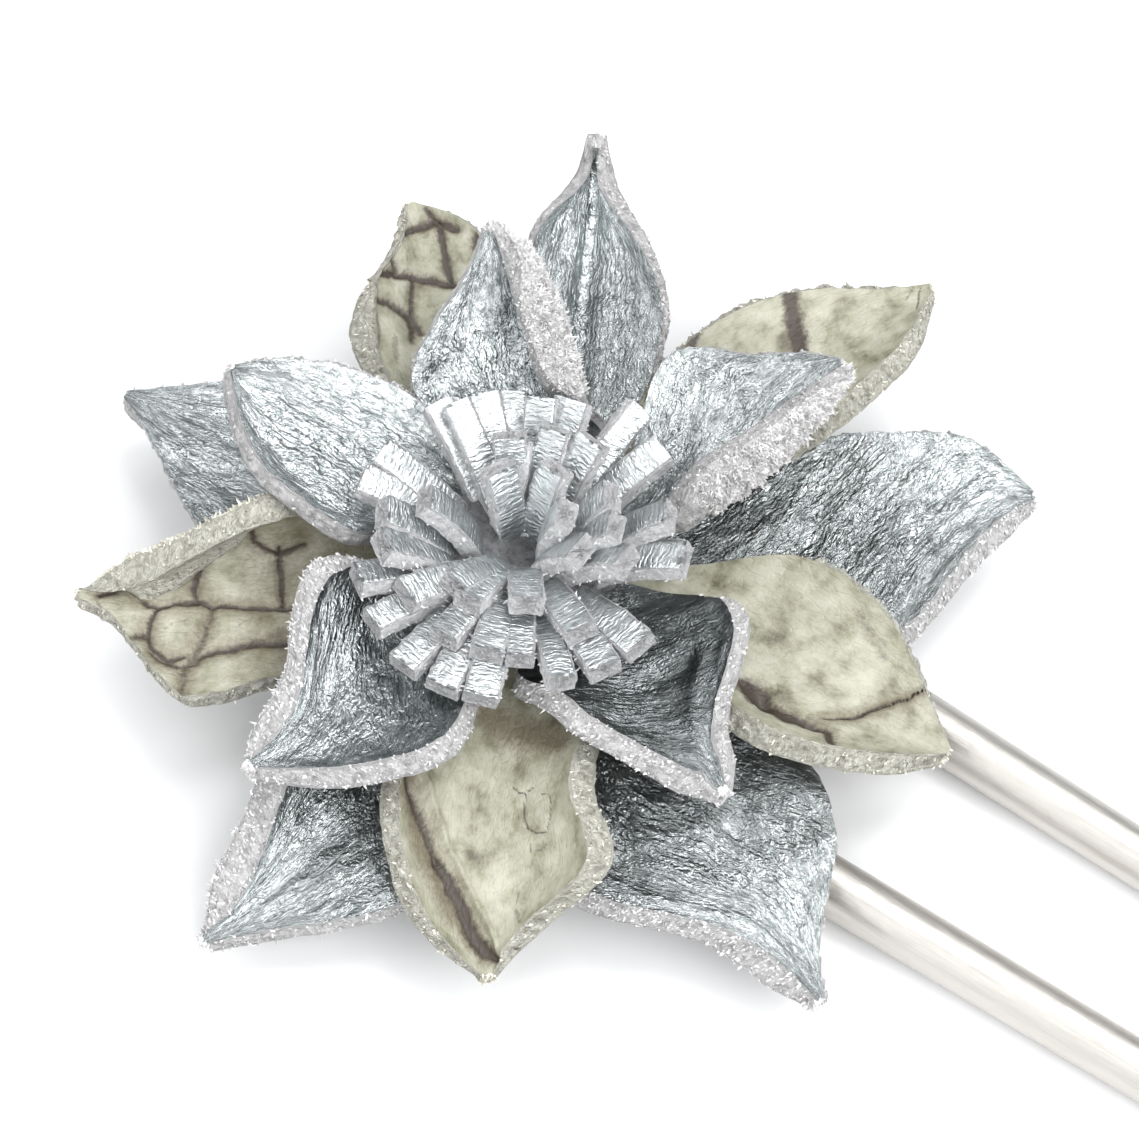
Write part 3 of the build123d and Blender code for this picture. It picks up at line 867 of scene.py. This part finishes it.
def fold_foil(leaf):
    """Soft folds, painted shade towards the root and calm margins. Returns the grain that the creases follow.
    """
    run, flow = crease_grid(leaf)
    folds = 0
    for number, (height, long, wide, start, start_wide) in enumerate(FOIL_FOLDS):
        folds = folds + height * noise(run / long + start, flow / wide + start_wide, leaf.seed + number)
    leaf.height += FOIL_FOLD_SHARE * folds * leaf.inside
    # painted shade, darkest at the root
    depth, ends_at = PAINTED_SHADE_ROWS[leaf.ring][leaf.place_in_ring]
    leaf.marks[..., SHADE_AND_STAIN_MARK] = depth * smooth((ends_at - leaf.share) / 0.35)
    creased = smooth((leaf.from_edge - 0.3) / 2.2) * smooth(leaf.from_tip / 5.0)
    leaf.marks[..., EDGE_MARK] = 1 - creased
    return np.stack([run, flow, leaf.slab], -1)


def roll_edge(leaf):
    """Smooths the flesh side that is rolled over the edge, and ends it with a step."""
    side, places = ROLLED[leaf.name]
    limit = np.interp(leaf.share, *np.array(places).T / 100)
    past = (leaf.place - limit) * side * leaf.half
    rolled = smooth(0.5 + past / 0.3)
    leaf.marks[..., EDGE_MARK] = rolled
    leaf.marks[..., LINE_MARK] *= 1 - rolled
    leaf.height = leaf.height * (1 - rolled) + 0.22 * smooth(past / 0.5)


def outline(leaf):
    """Rows and columns of the outline, once round."""
    last_row, last_column = leaf.rows - 1, leaf.columns - 1
    rim = [(i, 0) for i in range(leaf.rows)]
    rim += [(last_row, j) for j in range(1, leaf.columns)]
    rim += [(i, last_column) for i in range(last_row - 1, -1, -1)]
    rim += [(0, j) for j in range(last_column - 1, 0, -1)]
    return tuple(np.array(rim).T)


def add_edge(shell, leaf, top, bottom):
    """The uneven cut edge between the faces, with tufts of suede wherever it is free."""
    rim = outline(leaf)
    high, low = leaf.upper[rim], leaf.lower[rim]
    spine = leaf.upper[:, leaf.middle]
    outward = unit(high - spine[rim[0]]) * (0.35 + 0.65 * smooth(np.abs(leaf.place[rim]) * 2 - 1))[:, None]
    outward = np.where((rim[0] == leaf.rows - 1)[:, None], unit(spine[-1] - spine[-3]), outward)
    outward[leaf.share[rim] < 0.02] *= 0
    path = np.concatenate([[0], np.cumsum(np.linalg.norm(np.diff(high, axis=0), axis=1))])
    level = 0 * path
    band = [high]
    grain = [np.stack([path, level, leaf.slab[0, 0] + level], -1)]
    numbers = [top[rim]]
    for row in range(1, EDGE_ROWS):
        t = row / EDGE_ROWS
        rough = 0.36 * noise(path / 0.75, level + t * 2, leaf.seed + 8)
        rough = rough + 0.44 * noise(path / 0.42, level + t * 3.6, leaf.seed + 9)
        swell = 0.1 * math.sin(math.pi * t) + rough * min(1, 3 * t, 4 * (1 - t))
        band.append(high * (1 - t) + low * t + outward * swell[:, None])
        grain.append(np.stack([path, t * LEATHER + level, leaf.slab[0, 0] + level], -1))
        numbers.append(shell.add(band[-1], grain[-1]))
    band.append(low)
    grain.append(grain[0] + (0, LEATHER, 0))
    numbers.append(bottom[rim])
    loop = np.array(numbers)
    shell.faces(grid_quads(np.concatenate([loop, loop[:, :1]], 1), flip=True), SUEDE)

    shown = np.nonzero(leaf.share[rim] > 0.2)[0]
    wanted = np.where(leaf.place[rim] > 0, *leaf.flares)
    density = np.clip(0.35 + 1.3 * wanted, 0.06, 1.0)[shown] * (1 if leaf.is_silver else 0.3)
    count = int((path[shown[-1]] - path[shown[0]]) * TUFTS_PER_MM)
    band, grain = np.array(band), np.array(grain)
    ways = np.broadcast_to(outward, band.shape)
    add_tufts(shell, band[:, shown], grain[:, shown], ways[:, shown], count, EDGE_TUFT, leaf.seed + 3,
              density)


def add_nap(shell, leaf):
    """Tufts over the part of the flesh side that shows."""
    inward, count = NAPPY[leaf.name]
    keep = np.nonzero(leaf.place[leaf.rows // 2] * RIGHT > 1 - inward)[0]
    area = np.s_[int(0.3 * leaf.rows):, keep[0]:keep[-1] + 1]
    add_tufts(shell, leaf.lower[area], leaf.back_grain[area], -grid_normals(leaf.lower)[area], count,
              FACE_TUFT, leaf.seed + 15)


for number, petal in enumerate(PETALS):
    leaf = Leaf(petal, number)
    is_silver = leaf.is_silver
    out = grid_normals(leaf.upper)
    roughen_outline(leaf)
    roughen_back(leaf)
    draw_lines(leaf)
    if is_silver:
        grain = fold_foil(leaf)
    else:
        leaf.height += leaf.bumps(1.6, 0.1, 0) * leaf.inside
        grain = np.stack([leaf.along, leaf.across, leaf.slab], -1)
    if petal.name == "python_petal_4":
        # the scales are browner towards the root
        leaf.darken(SHADE_AND_STAIN_MARK, 0.55 * smooth((0.72 - leaf.share) / 0.2))
    if petal.name in ROLLED:
        roll_edge(leaf)
    leaf.upper = leaf.upper + out * leaf.height[..., None]

    shell = Shell()
    top = shell.add(leaf.upper, grain, leaf.marks)
    bottom = shell.add(leaf.lower, leaf.back_grain)
    shell.faces(grid_quads(top), SKIN)
    shell.faces(grid_quads(bottom, flip=True), SUEDE)
    add_edge(shell, leaf, top, bottom)
    if petal.name in NAPPY:
        add_nap(shell, leaf)
    materials = [silver, grey_suede] if is_silver else [python, cream_suede]
    thing = shell.build(petal.name + "_leather", materials)
    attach(thing, "root")
    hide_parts(petal.name)

# Fringe: core with its stem, and the cut strips

core_bottom = RING_HEIGHT["top_silver_petal"] + LEATHER / 2 + CORE_GAP
core_top = core_bottom + CORE_HEIGHT
strip_start = core_top - CORE_HEIGHT / 2
stem_top = core_bottom + 0.2
UP = np.array([0.0, 0.0, 1.0])
# A lathe profile starts and ends this far from its axis
HUB = 0.01
LATHE_SIDES = 72

# A strip's section: points on its foil face and on each other side, and how its corners are eased
STRIP_ROWS = 30
FOIL_POINTS = 12
SIDE_POINTS = 8
FOIL_INSET = 0.12
FOIL_BULGE = 0.05
FOIL_CORNER = 0.1
BACK_CORNER = 0.08
STRIP_ROUGH = 0.15
# Strips differ in width, as shares, in twist, degrees, and in how far their ends are torn out
WIDTH_SPREAD = (0.84, 1.1)
TWIST_SPREAD = (-9, 9)
END_SPREAD = (-0.06, 0.22)
STRIP_SLAB_STEP = 5.0
TUFTS_FROM_ROW = 8


def lathe(shell, profile, x, y, kind):
    """A closed solid turned round the axis through x and y."""
    angle = np.linspace(0, 2 * math.pi, LATHE_SIDES, endpoint=False)
    rings = [np.stack([x + radius * np.cos(angle), y + radius * np.sin(angle), 0 * angle + height], 1)
             for radius, height in profile]
    rings = np.array(rings)
    index = shell.add(rings, rings)
    shell.faces(grid_quads(np.concatenate([index, index[:, :1]], 1), flip=True), kind)


def strip_section(half_width, half_depth):
    """Points round a strip: its foil face first, then a cut side, the back and the other side."""
    top = np.linspace(-half_width + FOIL_INSET, half_width - FOIL_INSET, FOIL_POINTS)
    down = np.linspace(half_depth - FOIL_CORNER, -half_depth + BACK_CORNER, SIDE_POINTS)
    back = np.linspace(half_width - BACK_CORNER, -half_width + BACK_CORNER, SIDE_POINTS)
    up = np.linspace(-half_depth + BACK_CORNER, half_depth - FOIL_CORNER, SIDE_POINTS)
    section = [(x, half_depth + FOIL_BULGE * math.cos(x / half_width * math.pi / 2)) for x in top]
    section += [(half_width, y) for y in down]
    section += [(x, -half_depth) for x in back]
    section += [(-half_width, y) for y in up]
    return np.array(section)


def close_end(shell, rim, points, centre, grain, push, rng, flip):
    """A cut end: rings that step in to a hub, a little rough."""
    outer = rim
    for step in (0.66, 0.33):
        ring = centre + (points - centre) * step
        ring = ring + push * rng.uniform(*END_SPREAD, len(ring))[:, None]
        inner = shell.add(ring, grain * (1, step, 1) + (2.0 * step, 0, 0))
        inner = np.concatenate([inner, inner[:1]])
        shell.faces(grid_quads(np.stack([outer, inner]), flip=flip), SUEDE)
        outer = inner
    hub = np.full(len(outer) - 1, shell.add(centre[None], grain[:1])[0])
    fan = np.stack([outer[:-1], outer[1:], hub, hub], 1)
    shell.faces(fan[:, ::-1] if flip else fan, SUEDE)


def add_strip(shell, radius_share, bend, azimuth_degrees, lean, length, number, rng):
    """A strip that bends outwards, so that the face towards the flower's axis turns up."""
    azimuth = math.radians(azimuth_degrees)
    away = np.array([math.cos(azimuth), math.sin(azimuth), 0.0])
    side = np.cross(UP, away)
    start, end = math.radians(lean), math.radians(lean + bend)
    radius = length / (end - start)
    t = np.linspace(0, 1, STRIP_ROWS)
    angle = start + (end - start) * t
    r = radius_share * CORE_RADIUS + radius * (math.cos(start) - np.cos(angle))
    z = strip_start + radius * (np.sin(angle) - math.sin(start))
    centre = np.array([CORE_X, CORE_Y, 0]) + r[:, None] * away + z[:, None] * UP
    face = -np.cos(angle)[:, None] * away + np.sin(angle)[:, None] * UP
    # every strip draws a twist, used or not
    twist = TWISTED.get(azimuth_degrees, rng.uniform(*TWIST_SPREAD))
    twist = np.radians(twist * smooth(t * 1.2))[:, None]
    across = side * np.cos(twist) + face * np.sin(twist)
    face = face * np.cos(twist) - side * np.sin(twist)
    section = strip_section(STRIP_WIDTH / 2 * rng.uniform(*WIDTH_SPREAD), STRIP_THICKNESS / 2)
    points = centre[:, None] + section[None, :, :1] * across[:, None] + section[None, :, 1:] * face[:, None]

    run = np.repeat((t * length)[:, None], len(section), 1)
    girth = np.arange(len(section)) * 0.2
    rough = STRIP_ROUGH * noise(run / 0.6, girth[None] / 0.5 + run * 0, 900 + number)
    is_foil = np.arange(len(section)) < FOIL_POINTS
    outward = unit(points - centre[:, None])
    points = points + outward * np.where(is_foil, 0.5 * rough, rough)[..., None]
    # the foil's creases run across a strip, because it is bent
    round_it = np.where(is_foil, section[:, 0], girth) + run * 0
    grain = np.stack([round_it, run, run * 0 + STRIP_SLAB_STEP * number], -1)
    index = shell.add(points, grain)
    closed = np.concatenate([index, index[:, :1]], 1)
    quads = grid_quads(closed).reshape(STRIP_ROWS - 1, -1, 4)
    shell.faces(quads[:, :FOIL_POINTS - 1], SKIN)
    shell.faces(quads[:, FOIL_POINTS - 1:], SUEDE)
    for row, flip in ((0, False), (-1, True)):
        push = np.cross(face[row], across[row]) * (1 if flip else -1)
        close_end(shell, closed[row], points[row], centre[row], grain[row], push, rng, flip)
    cut = np.s_[TUFTS_FROM_ROW:, FOIL_POINTS:]
    add_tufts(shell, points[cut], grain[cut], outward[cut], TUFTS_PER_STRIP, STRIP_TUFT, 1200 + number)


shell = Shell()
lathe(shell, [(HUB, DISC_TOP), (STEM_RADIUS, DISC_TOP), (STEM_RADIUS, stem_top), (HUB, stem_top)],
      0, 0, SUEDE)
# the core wears the suede darkened as painted shade
lathe(shell, [(HUB, core_bottom), (CORE_RADIUS, core_bottom), (CORE_RADIUS, core_top),
              (HOLE_RADIUS * 1.9, core_top), (HOLE_RADIUS * 1.3, core_top - 0.7),
              (HOLE_RADIUS, core_top - 1.3), (HUB, core_top - 1.4)], CORE_X, CORE_Y, CORE)
rng = np.random.default_rng(7)
all_strips = [(share, bend, *strip) for share, bend, strips in TURNS for strip in strips]
for number, strip in enumerate(all_strips, 1):
    add_strip(shell, *strip, number, rng)
fringe = shell.build("fringe_strips", [strip_silver_painted_light, strip_edge, rolled_core])
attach(fringe, "root")
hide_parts("stamen_fringe")

# Fork and disc keep their solids

for node, material in (("hair_fork", nickel), ("backing_disc", grey_suede)):
    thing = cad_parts[node]
    thing.data.materials.clear()
    thing.data.materials.append(material)

# Floor, light and camera

FLOOR = 1.5
floor_mesh = bpy.data.meshes.new("floor")
corners = [(-FLOOR, -FLOOR, 0), (FLOOR, -FLOOR, 0), (FLOOR, FLOOR, 0), (-FLOOR, FLOOR, 0)]
floor_mesh.from_pydata(corners, [], [(0, 1, 2, 3)])
floor = add_object("floor", floor_mesh)
white_floor = Look("white_floor")
white_floor.give(Base_Color=(0.8, 0.805, 0.81), Roughness=0.35)
floor_mesh.materials.append(white_floor.material)

world = bpy.data.worlds.new("studio")
bpy.context.scene.world = world
world.use_nodes = True
background = world.node_tree.nodes["Background"]
background.inputs["Color"].default_value = (0.94, 0.97, 1.0, 1)
background.inputs["Strength"].default_value = 0.4

# What the camera and the lights point at, near the middle of the flower
TARGET = Vector((FLOWER_X + 0.645, FLOWER_Y + 0.439, 7.0)) * MM
LIGHT_DISTANCE = 0.9

# Each light's azimuth and elevation, degrees, its diameter, metres, and its power, watts
LIGHTS = {
    "overhead_light": (100, 88, 1.4, 2.4),
    "overhead_spark": (60, 76, 0.26, 1.6),
    "far_right_light": (72, 54, 0.5, 2.1),
    "far_spark": (128, 58, 0.12, 0.1),
    "left_light": (200, 46, 0.65, 2.1),
    "right_light": (345, 46, 0.8, 7.4),
    "near_light": (255, 30, 1.2, 3.8),
}
for name, (azimuth, elevation, size, power) in LIGHTS.items():
    light = bpy.data.lights.new(name, "AREA")
    light.shape = "DISK"
    light.size = size
    light.energy = power
    thing = add_object(name, light)
    a, e = math.radians(azimuth), math.radians(elevation)
    way = Vector((math.cos(a) * math.cos(e), math.sin(a) * math.cos(e), math.sin(e)))
    thing.location = TARGET + way * LIGHT_DISTANCE
    thing.rotation_euler = way.to_track_quat("Z", "Y").to_euler()

camera_data = bpy.data.cameras.new("camera")
camera_data.sensor_width = 36.0
camera_data.angle = math.radians(21.22)
camera_data.clip_start = 0.01
camera = add_object("camera", camera_data)
camera.location = Vector((FLOWER_X + 58.0, FLOWER_Y - 81.5, 180.2)) * MM
camera.rotation_euler = (camera.location - TARGET).to_track_quat("Z", "Y").to_euler()
bpy.context.scene.camera = camera
bpy.context.scene.view_settings.view_transform = "Standard"
